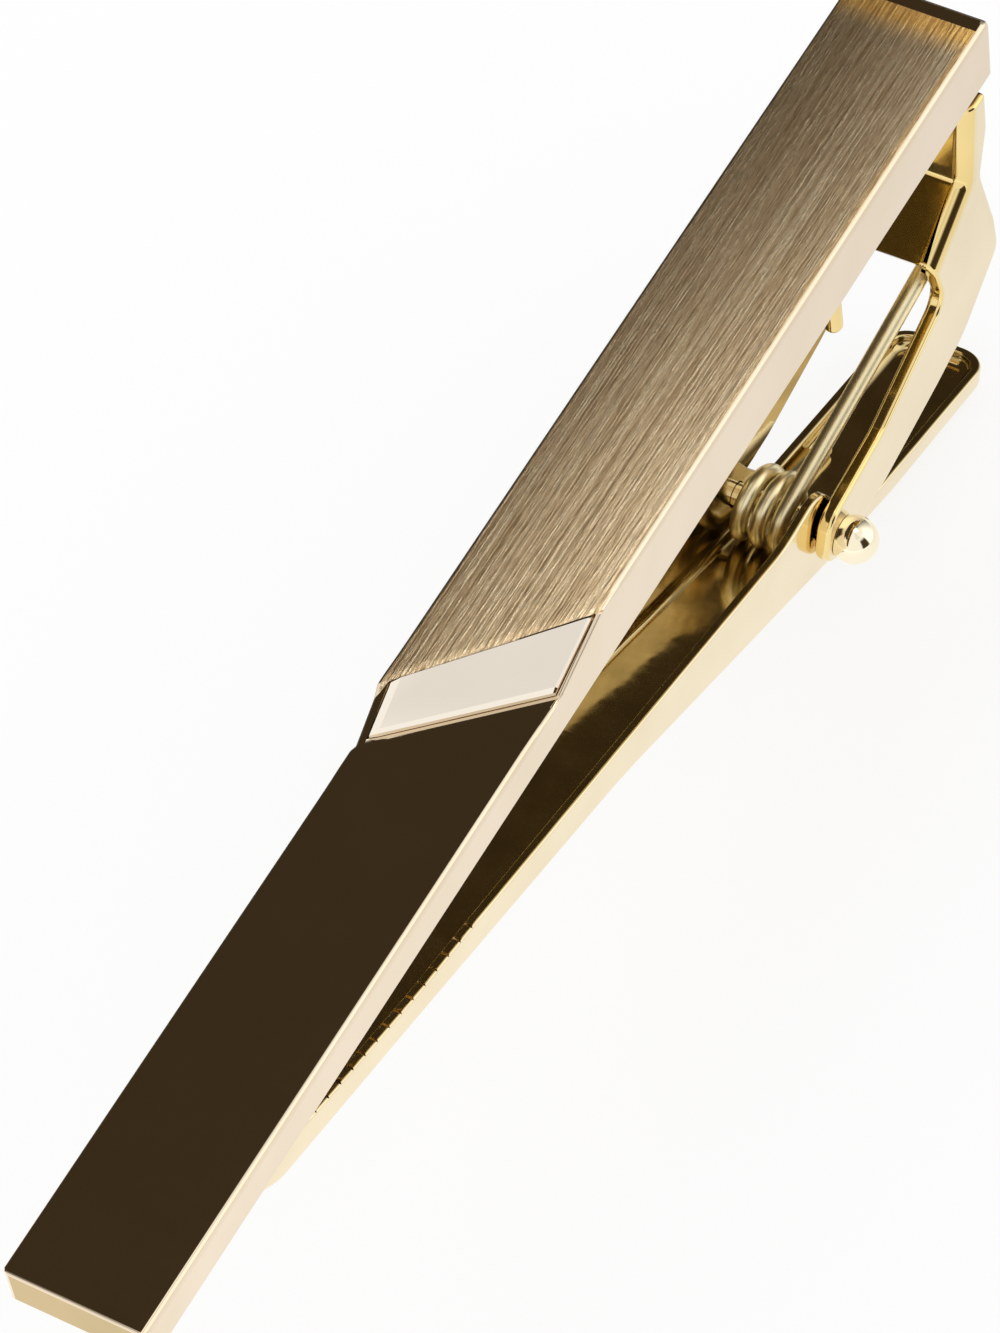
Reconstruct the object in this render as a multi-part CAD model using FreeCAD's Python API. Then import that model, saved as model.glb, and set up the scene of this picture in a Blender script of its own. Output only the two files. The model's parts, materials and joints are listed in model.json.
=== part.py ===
import FreeCAD, Part
import math
import os
from FreeCAD import Vector

# Tie clip: a two-level front bar with a slanting inset, and a sprung jaw lever behind it.
# Millimetres. The origin is the middle of the bar's flat back. +X runs to the bracket end,
# +Y is the bar's width and +Z points out of the front face, so the lever lies at -Z.

# Front bar: a thick satin half, a thin polished half and a slanting facet between them.
bar_length = 60.0
bar_width = 5.5
satin_height = 2.9
polished_height = 1.7
facet_foot_left = 22.5      # along the bar from the jaw end, on the +Y side
facet_foot_right = 27.1     # the same on the -Y side
facet_run_left = 2.1        # from the foot of the slope to its head, on the +Y side
facet_run_right = 3.5
edge_round = 0.22           # upright corners
top_round = 0.2             # outline of the two top faces

# Inset: a bright plate let into the facet.
inset_thickness = 0.5
inset_proud = 0.1
inset_left_margin = 0.4
inset_right_margin = 0.22
inset_head_share = 0.04     # where the plate starts and ends along the facet's slope
inset_foot_share = 0.84
side_over_share = 0.1       # how far the facet's cut passes the bar's sides, over its width
seat_clearance = 0.03

# Stop peg on the bar's back, which keeps the tie out of the spring.
peg_diameter = 0.7
peg_length = 1.9
peg_tip_length = 0.35
peg_tip_diameter = 0.4
peg_side_margin = 0.5       # from the bar's -Y side to the peg's axis
peg_setback = 11.95         # from the bracket end to the peg's axis

# Pivot pin with a round head at each end.
pin_setback = 13.5          # from the bracket end to the pin's axis
pin_drop = 12.15            # from the bar's back to the pin's axis
pin_diameter = 1.0
pin_head_diameter = 1.9
pin_head_stand = 0.5        # from the ear's face to the middle of the round head
pin_press_clearance = 0.02
pin_running_clearance = 0.05

# Hinge bracket, folded from sheet: base, neck, sloping web and two ears.
bracket_sheet = 0.6
bracket_width = 5.6
bracket_bend = 0.4          # inside radius of the two cross bends
bracket_fold = 0.9          # outside radius of the folds between the web and the ears
base_length = 7.5
base_width = 4.6
neck_setback = 2.0          # from the bracket end to the neck's inner face
neck_drop = 3.4
neck_lean = 0.45
web_run = 2.85
web_fall = 1.74
ear_length = 13.2           # from the pin's axis to the ear's rear corner
ear_corner = 0.9            # usual corner radius of the ear's outline
neck_flange_width = 1.25
neck_flange_gap = 0.45      # between the bar's back and the top of the neck's side flange

# The ear's outline from the web's front end, round the pin and back to the neck:
# along ear_length from the pin, up pin_drop from the pin, and the corner over ear_corner.
ear_outline_shares = (
    (0.667, 0.333, 0.9),
    (0.265, 0.173, 3.0),
    (-0.055, 0.126, 1.1),
    (-0.122, -0.080, 1.1),
    (0.293, -0.136, 1.8),
    (0.747, 0.078, 3.0),
    (1.000, 0.206, 1.0),
    (0.985, 0.350, 1.0),
    (0.915, 0.640, 1.4),
)

# Jaw lever, pressed from thinner sheet: jaw arm, pivot lugs and thumb tail.
lever_sheet = 0.4
lever_side_clearance = 0.1
lever_reach = 42.0          # from the pin's axis to the jaw's tip
tail_length = 14.3          # from the pin's axis to the tail's end
arm_depth = 0.8             # how far the arm's web lies below the pin
pivot_depth = 2.15          # the same under the spring
tail_depth = 2.2            # the same at the tail's end
tail_rim_height = 0.9
arm_rise = 1.38             # how far the arm's flanges rise above the pin
lug_rise = 2.35
lip_rise = 0.86             # how far the jaw's lip rises above the pin
tip_round = 1.2
tail_round = 1.2
lever_fold = 0.3
grip_gap = 0.05             # between the closed jaw's lip and the bar's back
lever_bend = 3.0            # usual corner radius of the lever's side outline

# Underside of the lever from the jaw's tip to the tail's end.
# Along: lever_reach before the pin and tail_length after it. Down: arm_depth, then pivot_depth.
jaw_underside_shares = (
    (-0.967, 0.22, 0.5),
    (-0.930, 1.00, 0.8),
    (-0.720, 0.90, 8.0),
    (-0.370, 0.90, 6.0),
)
tail_underside_shares = (
    (0.035, 1.00, 1.0),
    (0.420, 1.12, 1.5),
)
# Top of the flanges from the tail's rim over the lugs to the jaw.
lug_top_shares = (
    (0.300, -0.570, 0.8),
    (0.115, 0.300, 0.6),
    (-0.020, 1.000, 0.5),
)
arm_top_shares = (
    (-0.080, 1.00, 1.5),
    (-0.616, 0.57, 4.0),
    (-0.718, 0.42, 3.0),
    (-0.830, 0.44, 2.0),
    (-0.905, 0.48, 0.8),
)

# Serrations on the top of the jaw's flanges.
serration_count = 15
serration_depth = 0.16
serration_start_share = 0.895    # along lever_reach from the pin
serration_end_share = 0.630

# Torsion spring round the pin.
wire_diameter = 0.54
coil_radius = 1.0           # to the middle of the wire
coil_side_clearance = 0.12
coil_turns = 2              # whole turns, before the part turn that the legs need
leg_clearance = 0.1
upper_lean_share = 0.2      # how much of the coil's pitch the upper leg keeps
web_leg_overlap = 0.9       # how far the upper leg reaches past the web's end
tail_leg_length = 6.5
gap_points = 400            # points on which the spring's gap to itself is measured

# One overrun serves all cuts.
overrun = 1.0

# How steeply a face may point up or down to count as upright, or must point down to be a bottom.
upright_share = 0.01
downward_share = 0.5

half_length = bar_length / 2
pin_x = half_length - pin_setback
pin_z = -pin_drop
ear_inner = bracket_width / 2 - bracket_sheet
lever_width = 2 * (ear_inner - lever_side_clearance)
lip_radius = math.hypot(lever_reach, lip_rise)
lever_angle = math.asin((pin_drop - grip_gap) / lip_radius) - math.atan2(lip_rise, lever_reach)


def turn_at(before, here, after):
    """Unit directions into and out of a corner, and the angle turned there."""
    way_in = Vector(here[0] - before[0], 0, here[1] - before[1]).normalize()
    way_out = Vector(after[0] - here[0], 0, after[1] - here[1]).normalize()
    cross = way_in.x * way_out.z - way_in.z * way_out.x
    return way_in, way_out, math.atan2(cross, way_in.dot(way_out))


def outline(corners):
    """Closed wire in the XZ plane through corners (x, z, radius), rounded with tangent arcs."""
    edges = []
    starts = []
    ends = []
    middles = []
    count = len(corners)
    for index, (x, z, radius) in enumerate(corners):
        here = Vector(x, 0, z)
        way_in, way_out, angle = turn_at(corners[index - 1], corners[index], corners[(index + 1) % count])
        cut = radius * math.tan(abs(angle) / 2)
        starts.append(here - way_in * cut)
        ends.append(here + way_out * cut)
        inward = way_out - way_in
        depth = radius / math.cos(angle / 2) - radius
        middles.append(here + inward.normalize() * depth if cut else None)
    for index in range(count):
        if middles[index]:
            edges.append(Part.Arc(starts[index], middles[index], ends[index]).toShape())
        following = starts[(index + 1) % count]
        edges.append(Part.LineSegment(ends[index], following).toShape())
    return Part.Wire(edges)


def beside(corners, distance):
    """Open line of corners moved to its left by a distance, with its bends kept concentric."""
    moved = []
    last = len(corners) - 1
    for index, (x, z, radius) in enumerate(corners):
        before = corners[max(index - 1, 0)]
        after = corners[min(index + 1, last)]
        if index in (0, last):
            along = Vector(after[0] - before[0], 0, after[1] - before[1]).normalize()
            moved.append((x - along.z * distance, z + along.x * distance, radius))
            continue
        way_in, way_out, angle = turn_at(before, corners[index], after)
        middle = (way_in + way_out).normalize()
        reach = distance / math.cos(angle / 2)
        side = distance if angle > 0 else -distance
        moved.append((x - middle.z * reach, z + middle.x * reach, radius - side))
    return moved


def slab(corners, width):
    """Outline in the XZ plane, extruded to a width that is centred on Y."""
    face = Part.Face(outline(corners))
    face.translate(Vector(0, -width / 2, 0))
    return face.extrude(Vector(0, width, 0))


def round_along_y(radius, length, x, z):
    """Cylinder along Y, centred on the XZ plane."""
    return Part.makeCylinder(radius, length, Vector(x, -length / 2, z), Vector(0, 1, 0))


def side_wire(points, y):
    """Closed polygon of (x, z) points in the plane of one side."""
    corners = [Vector(x, y, z) for x, z in points]
    return Part.makePolygon(corners + corners[:1])


def facet_point(left_share, slope_share, lift):
    """Point on the slanting facet: 0 to 1 from +Y to -Y and from the head to the foot."""
    foot = facet_foot_left + (facet_foot_right - facet_foot_left) * left_share
    run = facet_run_left + (facet_run_right - facet_run_left) * left_share
    fall = satin_height - polished_height
    return foot + run * (1 - slope_share) - half_length, satin_height - fall * slope_share + lift


def front_bar():
    """Two-level bar: a block cut down to the thin half, then to the twisted facet and its pocket."""
    bar = Part.makeBox(bar_length, bar_width, satin_height, Vector(-half_length, -bar_width / 2, 0))
    rounded = [edge for edge in bar.Edges if bar_edge_is_rounded(edge)]
    bar = bar.makeFillet(edge_round, rounded)
    slope_wires = []
    foot_line = []
    for left_share in (-side_over_share, 1 + side_over_share):
        y = bar_width / 2 - bar_width * left_share
        foot = facet_point(left_share, 1, 0)
        over_head = facet_point(left_share, -1, 0)
        slope_wires.append(side_wire((foot, over_head, (foot[0], over_head[1])), y))
        foot_line.append(Vector(foot[0], y, polished_height))
    far_x = -half_length - overrun
    far_line = [Vector(far_x, point.y, polished_height) for point in reversed(foot_line)]
    step = Part.Face(Part.makePolygon(foot_line + far_line + foot_line[:1]))
    bar = bar.cut(step.extrude(Vector(0, 0, satin_height)))
    bar = bar.cut(Part.makeLoft(slope_wires, True, True))
    tops = [edge for edge in bar.Edges if bar_edge_is_top(edge)]
    bar = bar.makeFillet(top_round, tops)
    return bar.cut(inset_form(seat_clearance, inset_proud + overrun))


def bar_edge_is_rounded(edge):
    """True for the four upright corners of the bar."""
    box = edge.BoundBox
    return box.XLength + box.YLength < edge_round


def bar_edge_is_top(edge):
    """True for the outline of the two top faces, without the head and the foot of the facet."""
    box = edge.BoundBox
    level = box.ZLength < top_round and box.ZMin > polished_height / 2
    across = box.YLength > bar_width / 2
    at_end = abs(box.Center.x) > half_length - edge_round
    return level and (at_end or not across)


def inset_form(clearance, lift):
    """Four-sided plate along the facet, grown by a clearance and standing proud by a lift."""
    slope_clear = clearance / facet_run_right
    wires = []
    for margin, sign in ((inset_left_margin, 1), (inset_right_margin, -1)):
        y = sign * (bar_width / 2 - margin + clearance)
        left_share = (bar_width / 2 - y) / bar_width
        head_share = inset_head_share - slope_clear
        foot_share = inset_foot_share + slope_clear
        floor = inset_proud - inset_thickness - clearance
        points = (
            facet_point(left_share, head_share, lift),
            facet_point(left_share, foot_share, lift),
            facet_point(left_share, foot_share, floor),
            facet_point(left_share, head_share, floor),
        )
        wires.append(side_wire(points, y))
    return Part.makeLoft(wires, True, True)


def silver_inset():
    """Bright plate in its pocket, a little proud of the facet."""
    return inset_form(0, inset_proud)


def stop_peg():
    """Small round peg on the bar's back, with a tapered tip."""
    shank_length = peg_length - peg_tip_length
    foot = Vector(half_length - peg_setback, peg_side_margin - bar_width / 2, 0)
    down = Vector(0, 0, -1)
    shank = Part.makeCylinder(peg_diameter / 2, shank_length, foot, down)
    tip_foot = foot + down * shank_length
    tip = Part.makeCone(peg_diameter / 2, peg_tip_diameter / 2, peg_tip_length, tip_foot, down)
    return shank.fuse(tip).removeSplitter()


def strip_corners():
    """Inner face of the bracket's strip, from the web's end up the neck and along the base."""
    neck_top = half_length - neck_setback
    neck_foot = neck_top - neck_lean
    neck_foot_z = -bracket_sheet - neck_drop
    return [
        (neck_foot - web_run, neck_foot_z - web_fall, 0),
        (neck_foot, neck_foot_z, bracket_bend),
        (neck_top, -bracket_sheet, bracket_bend),
        (neck_top - base_length, -bracket_sheet, 0),
    ]


def ear_corners():
    """Side outline of one ear with its neck flange, clockwise from the neck."""
    inner = strip_corners()
    corners = [inner[1], inner[0]]
    for along_share, up_share, corner_share in ear_outline_shares:
        x = pin_x + ear_length * along_share
        z = pin_z + pin_drop * up_share
        corners.append((x, z, ear_corner * corner_share))
    flange_x = half_length - neck_setback + neck_flange_width
    flange_foot_z = -bracket_sheet - neck_drop / 2
    corners.append((flange_x, flange_foot_z, ear_corner))
    corners.append((flange_x, -neck_flange_gap, 0))
    corners.append((flange_x - neck_flange_width, -neck_flange_gap, 0))
    return corners


def hinge_bracket():
    """Folded sheet bracket: base under the bar, neck, web and two ears with the pin's holes."""
    inner = strip_corners()
    outer = beside(inner, -bracket_sheet)
    block = slab(ear_corners(), bracket_width)
    folds = [edge for edge in block.Edges if bracket_edge_is_fold(edge)]
    block = block.makeFillet(bracket_fold, folds)
    bracket = block.cut(slab(room_behind(inner, outer), 2 * ear_inner))
    bracket = bracket.fuse(slab(inner + outer[::-1], base_width))
    hole = round_along_y(pin_diameter / 2 + pin_press_clearance, bracket_width + overrun, pin_x, pin_z)
    return bracket.cut(hole).removeSplitter()


def room_behind(inner, outer):
    """Outline of the space between the ears, in front of the web's end and behind the strip."""
    web_end, neck_foot, neck_top = outer[:3]
    step_x = (inner[0][0] - web_end[0]) * overrun / bracket_sheet
    step_z = (inner[0][1] - web_end[1]) * overrun / bracket_sheet
    over_web = (inner[0][0] + step_x, inner[0][1] + step_z, 0)
    slope = (neck_top[0] - neck_foot[0]) / (neck_top[1] - neck_foot[1])
    neck_x = neck_foot[0] + (overrun - neck_foot[1]) * slope
    low = pin_z - pin_drop
    near = pin_x - ear_length
    far = half_length + ear_length
    return [
        over_web,
        web_end,
        neck_foot,
        (neck_x, overrun, 0),
        (far, overrun, 0),
        (far, low, 0),
        (near, low, 0),
        (near, over_web[1], 0),
    ]


def bracket_edge_is_fold(edge):
    """True for the outside edges between an ear and the web or the neck."""
    web_end, neck_foot, neck_top, base_end = strip_corners()
    middle = edge.valueAt((edge.FirstParameter + edge.LastParameter) / 2)
    along_side = abs(middle.y) > ear_inner
    above_web = middle.z > web_end[1]
    before_flange = middle.x < neck_top[0]
    below_top = middle.z < -neck_flange_gap
    return along_side and above_web and before_flange and below_top


def pivot_pin():
    """Pin across the bracket's ears, with a ball-shaped head outside each ear."""
    pin = round_along_y(pin_diameter / 2, bracket_width, pin_x, pin_z)
    radius = pin_head_diameter / 2
    for sign in (-1, 1):
        face_y = sign * bracket_width / 2
        ball = Part.makeSphere(radius, Vector(pin_x, face_y + sign * pin_head_stand, pin_z))
        block_foot = Vector(pin_x, face_y - sign * pin_head_diameter, pin_z)
        block = Part.makeCylinder(pin_head_diameter, pin_head_diameter, block_foot, Vector(0, sign, 0))
        pin = pin.fuse(ball.cut(block))
    return pin.removeSplitter()


def underside():
    """Outer face of the lever's web from the jaw's tip to the tail's end, about the pin."""
    corners = [(-lever_reach, -arm_depth * jaw_underside_shares[0][1], 0)]
    for along_share, down_share, bend_share in jaw_underside_shares:
        corners.append((lever_reach * along_share, -arm_depth * down_share, lever_bend * bend_share))
    for along_share, down_share, bend_share in tail_underside_shares:
        corners.append((tail_length * along_share, -pivot_depth * down_share, lever_bend * bend_share))
    corners.append((tail_length, -tail_depth, 0))
    return corners


def flange_top():
    """Top of the lever's flanges from the tail's end to the jaw's lip, about the pin."""
    corners = [(tail_length, tail_rim_height - tail_depth, 0)]
    for along_share, up_share, bend_share in lug_top_shares:
        corners.append((tail_length * along_share, lug_rise * up_share, lever_bend * bend_share))
    for along_share, up_share, bend_share in arm_top_shares:
        corners.append((lever_reach * along_share, arm_rise * up_share, lever_bend * bend_share))
    corners.append((-lever_reach, lip_rise, 0))
    return corners


def plan_block(inset):
    """Tall block with the lever's plan: round corners at the jaw's tip and the tail's end."""
    low = -pivot_depth - tail_depth - overrun
    height = lug_rise + overrun - low
    half = lever_width / 2 - inset
    length = lever_reach + tail_length - 2 * inset
    corner = Vector(inset - lever_reach, -half, low)
    block = Part.makeBox(length, 2 * half, height, corner)
    for radius, x in ((tip_round, inset - lever_reach), (tail_round, tail_length - inset)):
        upright = []
        for edge in block.Edges:
            box = edge.BoundBox
            if abs(box.Center.x - x) < tip_round and box.ZLength > lug_rise:
                upright.append(edge)
        block = block.makeFillet(radius - inset, upright)
    return block


def top_height(top, along):
    """Height of the straight line between two corners of the flange's top."""
    for (x1, z1, bend1), (x2, z2, bend2) in zip(top, top[1:]):
        if x2 <= along <= x1:
            return z1 + (z2 - z1) * (along - x1) / (x2 - x1)
    return top[-1][1]


def face_direction(face):
    """Outward direction at the middle of a face."""
    low_u, high_u, low_v, high_v = face.ParameterRange
    return face.normalAt((low_u + high_u) / 2, (low_v + high_v) / 2)


def lower_edges(solid):
    """Edges where the downward faces of a solid meet its upright faces."""
    upright = []
    for face in solid.Faces:
        if abs(face_direction(face).z) < upright_share:
            upright.extend(edge.hashCode() for edge in face.Edges)
    lower = []
    for face in solid.Faces:
        if face_direction(face).z < -downward_share:
            lower.extend(edge for edge in face.Edges if edge.hashCode() in upright)
    return lower


def jaw_lever():
    """Pressed channel: jaw arm with serrated flanges, pivot lugs and a rimmed thumb tail."""
    under = underside()
    top = flange_top()
    lever = slab(under + top, lever_width).common(plan_block(0))
    lever = lever.makeFillet(lever_fold, lower_edges(lever))
    floor = beside(under, lever_sheet)
    ceiling = lug_rise + overrun
    room = floor + [(tail_length + overrun, ceiling, 0), (-lever_reach - overrun, ceiling, 0)]
    room[0] = (-lever_reach - overrun, floor[0][1], 0)
    room.insert(len(floor), (tail_length + overrun, floor[-1][1], 0))
    lever = lever.cut(slab(room, lever_width).common(plan_block(lever_sheet)))
    for index in range(serration_count):
        step = (serration_end_share - serration_start_share) * index / (serration_count - 1)
        along = -lever_reach * (serration_start_share + step)
        edge_z = top_height(top, along)
        notch = [
            (along, edge_z - serration_depth, 0),
            (along + serration_depth * 2, edge_z + serration_depth, 0),
            (along - serration_depth * 2, edge_z + serration_depth, 0),
        ]
        lever = lever.cut(slab(notch, lever_width + overrun))
    hole = round_along_y(pin_diameter / 2 + pin_running_clearance, lever_width + overrun, 0, 0)
    lever = lever.cut(hole).removeSplitter()
    lever.rotate(Vector(0, 0, 0), Vector(0, 1, 0), math.degrees(lever_angle))
    lever.translate(Vector(pin_x, 0, pin_z))
    return lever


def arc_from(start, direction, end):
    """Circular arc that leaves a point in a direction and reaches another point."""
    chord = end - start
    along = Vector(chord).normalize()
    side = direction - along * direction.dot(along)
    angle = math.acos(max(-1, min(1, direction.dot(along))))
    middle = (start + end) / 2 + side.normalize() * (chord.Length / 2 * math.tan(angle / 2))
    return Part.Arc(start, middle, end).toShape()


def biarc(start, start_way, end, end_way):
    """Two tangent arcs between two points with given directions."""
    chord = end - start
    total = start_way + end_way
    spare = 2 * (1 - start_way.dot(end_way))
    lean = chord.dot(total)
    handle = (math.sqrt(lean * lean + spare * chord.dot(chord)) - lean) / spare
    middle = (start + end + (start_way - end_way) * handle) / 2
    return [arc_from(start, start_way, middle), arc_from(end, end_way * -1, middle)]


def spring_angles():
    """Directions of the two straight legs, from where they bear on the web and on the tail."""
    web_end_x, web_end_z = strip_corners()[0][:2]
    slope = math.atan2(web_fall, web_run)
    under = bracket_sheet + leg_clearance + wire_diameter / 2
    bear_x = web_end_x + under * math.sin(slope) - pin_x
    bear_z = web_end_z - under * math.cos(slope) - pin_z
    reach = math.hypot(bear_x, bear_z)
    upper = math.atan2(bear_z, bear_x) - math.asin(coil_radius / reach)
    upper_length = math.sqrt(reach * reach - coil_radius * coil_radius) + web_leg_overlap
    floor_z = -pivot_depth * tail_underside_shares[-1][1] + lever_sheet
    rest_z = floor_z + leg_clearance + wire_diameter / 2
    rest_reach = math.hypot(tail_leg_length, rest_z)
    lower = math.atan2(rest_z, tail_leg_length) + math.asin(coil_radius / rest_reach)
    return upper, upper_length, lower - lever_angle


def torsion_spring():
    """One wire: upper leg, coil round the pin and lower leg, all tangent."""
    upper, upper_length, lower = spring_angles()
    first = upper + math.pi / 2
    wrap = (lower - math.pi / 2 - first) % (2 * math.pi) + 2 * math.pi * coil_turns
    half_span = lever_width / 2 - lever_sheet - coil_side_clearance - wire_diameter / 2
    quarter = math.pi / 2
    faded_share = 1 - upper_lean_share
    missed = quarter / 2 * faded_share
    climb = 2 * half_span / (wrap - quarter / 2 - missed)

    def place(turned):
        """Point and direction on the coil, whose pitch fades in its first and last quarter."""
        level = turned - missed
        rate = 1.0
        left = wrap - turned
        if turned < quarter:
            rate = upper_lean_share + faded_share * turned / quarter
            level = turned * (upper_lean_share + rate) / 2
        if left < quarter:
            rate = left / quarter
            level = wrap - quarter / 2 - missed - left * rate / 2
        angle = first + turned
        ray_x = coil_radius * math.cos(angle)
        ray_z = coil_radius * math.sin(angle)
        way = Vector(-ray_z, climb * rate, ray_x)
        return Vector(ray_x, climb * level - half_span, ray_z), way.normalize()

    centre = Vector(pin_x, 0, pin_z)
    pieces = math.ceil(wrap / quarter)
    stops = [place(wrap * index / pieces) for index in range(pieces + 1)]
    start, start_way = stops[0]
    end, end_way = stops[-1]
    edges = [Part.LineSegment(start - start_way * upper_length, start).toShape()]
    for (point, way), (next_point, next_way) in zip(stops, stops[1:]):
        edges.extend(biarc(point, way, next_point, next_way))
    edges.append(Part.LineSegment(end, end + end_way * tail_leg_length).toShape())
    path = Part.Wire(edges)
    tip = start - start_way * upper_length
    ring = Part.Wire(Part.makeCircle(wire_diameter / 2, tip, start_way))
    spring = path.makePipeShell([ring], True, False)
    print("spring turns", round(wrap / (2 * math.pi), 3), "least gap", round(least_gap(path), 3))
    length = upper_length + tail_leg_length + sum(edge.Length for edge in edges[1:-1])
    section = math.pi * wire_diameter * wire_diameter / 4
    print("spring volume over section times length", round(spring.Volume / (section * length), 4))
    return spring.translated(centre)


def least_gap(path):
    """Least gap between stretches of the spring that lie more than half a turn apart."""
    points = path.discretize(Number=gap_points)
    step = path.Length / (len(points) - 1)
    apart = math.ceil(math.pi * coil_radius / step)
    nearest = min(
        point.distanceToPoint(other)
        for index, point in enumerate(points)
        for other in points[index + apart:]
    )
    return nearest - wire_diameter


os.makedirs("parts", exist_ok=True)
parts = {
    "front_bar": front_bar(),
    "silver_inset": silver_inset(),
    "stop_peg": stop_peg(),
    "hinge_bracket": hinge_bracket(),
    "pivot_pin": pivot_pin(),
    "jaw_lever": jaw_lever(),
    "torsion_spring": torsion_spring(),
}
for name, shape in parts.items():
    solids = shape.Solids
    print(name, len(solids), "solid", round(shape.Volume, 3), shape.isValid())
    solids[0].exportStep("parts/" + name + ".step")
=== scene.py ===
# %% [markdown]
# # A sprung tie clip
# The clip is a gold bar that shows on the tie and a sprung jaw that hides behind it. The bar has a
# brushed half, a mirror-polished half and a bright plate let into the slope between the two. Behind it
# sit a folded bracket, a pin, a wire spring and a long pressed lever.
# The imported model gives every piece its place. Each cell below makes one piece again with the rounded
# edges, the close-wound wire and the finishes that a solid model leaves out.

# %% Load the frame
import json
import math

import bmesh
import bpy
from mathutils import Matrix, Vector

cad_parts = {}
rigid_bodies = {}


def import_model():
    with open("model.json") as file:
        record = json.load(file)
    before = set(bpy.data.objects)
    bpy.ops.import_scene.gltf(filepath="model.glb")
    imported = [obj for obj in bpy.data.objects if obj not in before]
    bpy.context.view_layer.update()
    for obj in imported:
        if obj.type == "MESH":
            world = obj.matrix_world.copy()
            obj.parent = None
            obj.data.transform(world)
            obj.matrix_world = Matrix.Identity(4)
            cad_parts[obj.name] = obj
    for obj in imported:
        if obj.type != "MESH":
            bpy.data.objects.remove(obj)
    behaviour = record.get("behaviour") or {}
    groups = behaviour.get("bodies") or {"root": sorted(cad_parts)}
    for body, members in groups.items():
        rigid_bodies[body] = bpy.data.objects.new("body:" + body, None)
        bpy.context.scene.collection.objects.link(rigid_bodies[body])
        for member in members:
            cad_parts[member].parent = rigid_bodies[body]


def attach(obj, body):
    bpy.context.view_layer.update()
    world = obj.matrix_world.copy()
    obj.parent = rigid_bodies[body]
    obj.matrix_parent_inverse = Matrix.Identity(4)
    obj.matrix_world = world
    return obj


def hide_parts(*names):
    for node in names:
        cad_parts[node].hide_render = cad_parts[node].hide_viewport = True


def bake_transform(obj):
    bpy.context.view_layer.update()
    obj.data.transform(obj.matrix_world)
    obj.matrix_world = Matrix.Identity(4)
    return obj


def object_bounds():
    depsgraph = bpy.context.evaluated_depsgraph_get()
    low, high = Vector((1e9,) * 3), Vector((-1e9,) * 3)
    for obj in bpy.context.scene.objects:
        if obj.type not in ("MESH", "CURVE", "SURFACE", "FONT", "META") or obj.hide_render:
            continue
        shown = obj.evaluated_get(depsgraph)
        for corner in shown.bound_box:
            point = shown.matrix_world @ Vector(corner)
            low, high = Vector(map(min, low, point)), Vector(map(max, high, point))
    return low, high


for leftover in list(bpy.data.objects):
    bpy.data.objects.remove(leftover)
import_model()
cad_low, cad_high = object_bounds()

# %% [markdown]
# ## Sizes and small tools
# The clip is modelled in millimetres, as a maker would measure it, and every point is turned into metres
# once, on its way into a mesh. A few small tools serve all pieces: they make an object of a mesh, make the
# result of modifiers final, join or cut solids, round edges, shade them, and hand the piece to the frame.

# %% Shared sizes and mesh tools
MM = 0.001
HALF_LENGTH = 30.0
HALF_WIDTH = 2.75
PIN_X, PIN_Z = 16.5, -12.15
TOUCH = 1e-4    # millimetres within which two measures count as equal


def mm(x, y, z):
    """A point given in millimetres, in the metres of the frame."""
    return Vector((x, y, z)) * MM


def put_in_scene(name, data):
    """Puts a mesh, a curve or a camera into the scene as an object at the origin."""
    obj = bpy.data.objects.new(name, data)
    bpy.context.scene.collection.objects.link(obj)
    return obj


def new_object(name, bm):
    """Turns a finished bmesh into an object, with its faces pointing outwards."""
    bmesh.ops.recalc_face_normals(bm, faces=bm.faces)
    mesh = bpy.data.meshes.new(name)
    bm.to_mesh(mesh)
    bm.free()
    return put_in_scene(name, mesh)


def bridge(bm, rows, closed=False):
    """Quads between neighbouring rows of points; closed rows are rings."""
    for lower, upper in zip(rows, rows[1:]):
        for index in range(0 if closed else 1, len(lower)):
            bm.faces.new((lower[index - 1], lower[index], upper[index], upper[index - 1]))


def final_mesh(obj):
    """The plain mesh that the modifiers show; the modifiers themselves go."""
    graph = bpy.context.evaluated_depsgraph_get()
    mesh = bpy.data.meshes.new_from_object(obj.evaluated_get(graph))
    obj.modifiers.clear()
    return mesh


def settle(obj):
    """Makes what the modifiers show the object's own mesh."""
    obj.data = final_mesh(obj)
    return obj


def combine(obj, tool, operation):
    """Joins a second solid to the first or cuts it away, and removes it."""
    step = obj.modifiers.new("combine", "BOOLEAN")
    step.object = tool
    step.operation = operation
    step.solver = "MANIFOLD"
    settle(obj)
    bpy.data.objects.remove(tool)
    return obj


def soften(obj, width, segments, angle=None):
    """Rounds edges: those with a bevel weight, or all that are sharper than an angle in degrees."""
    step = obj.modifiers.new("soften", "BEVEL")
    step.width = width * MM
    step.segments = segments
    step.limit_method = "ANGLE" if angle else "WEIGHT"
    if angle:
        step.angle_limit = math.radians(angle)
    step.use_clamp_overlap = False
    return settle(obj)


def even_shading(obj, sharp=60):
    """Smooth shading that weighs faces by size, so a flat face stays flat beside its small roundings."""
    mesh = obj.data
    mesh.shade_smooth()
    limit = math.cos(math.radians(sharp))
    around = [[] for _ in mesh.vertices]
    for face in mesh.polygons:
        weighed = face.normal * (face.area / MM ** 2) ** 2
        for index in face.vertices:
            around[index].append((face.normal.copy(), weighed))
    directions = []
    for face in mesh.polygons:
        for index in face.vertices:
            alike = [weighed for normal, weighed in around[index] if normal.dot(face.normal) > limit]
            directions.append(sum(alike, Vector((0, 0, 0))).normalized())
    mesh.normals_split_custom_set(directions)
    return obj


def hand_over(obj, body, node):
    """The finished piece rides a body, and the CAD node that it stands for is hidden."""
    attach(obj, body)
    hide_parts(node)
    print(obj.name, "stands for", node, "with", len(obj.data.polygons), "faces")


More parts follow.
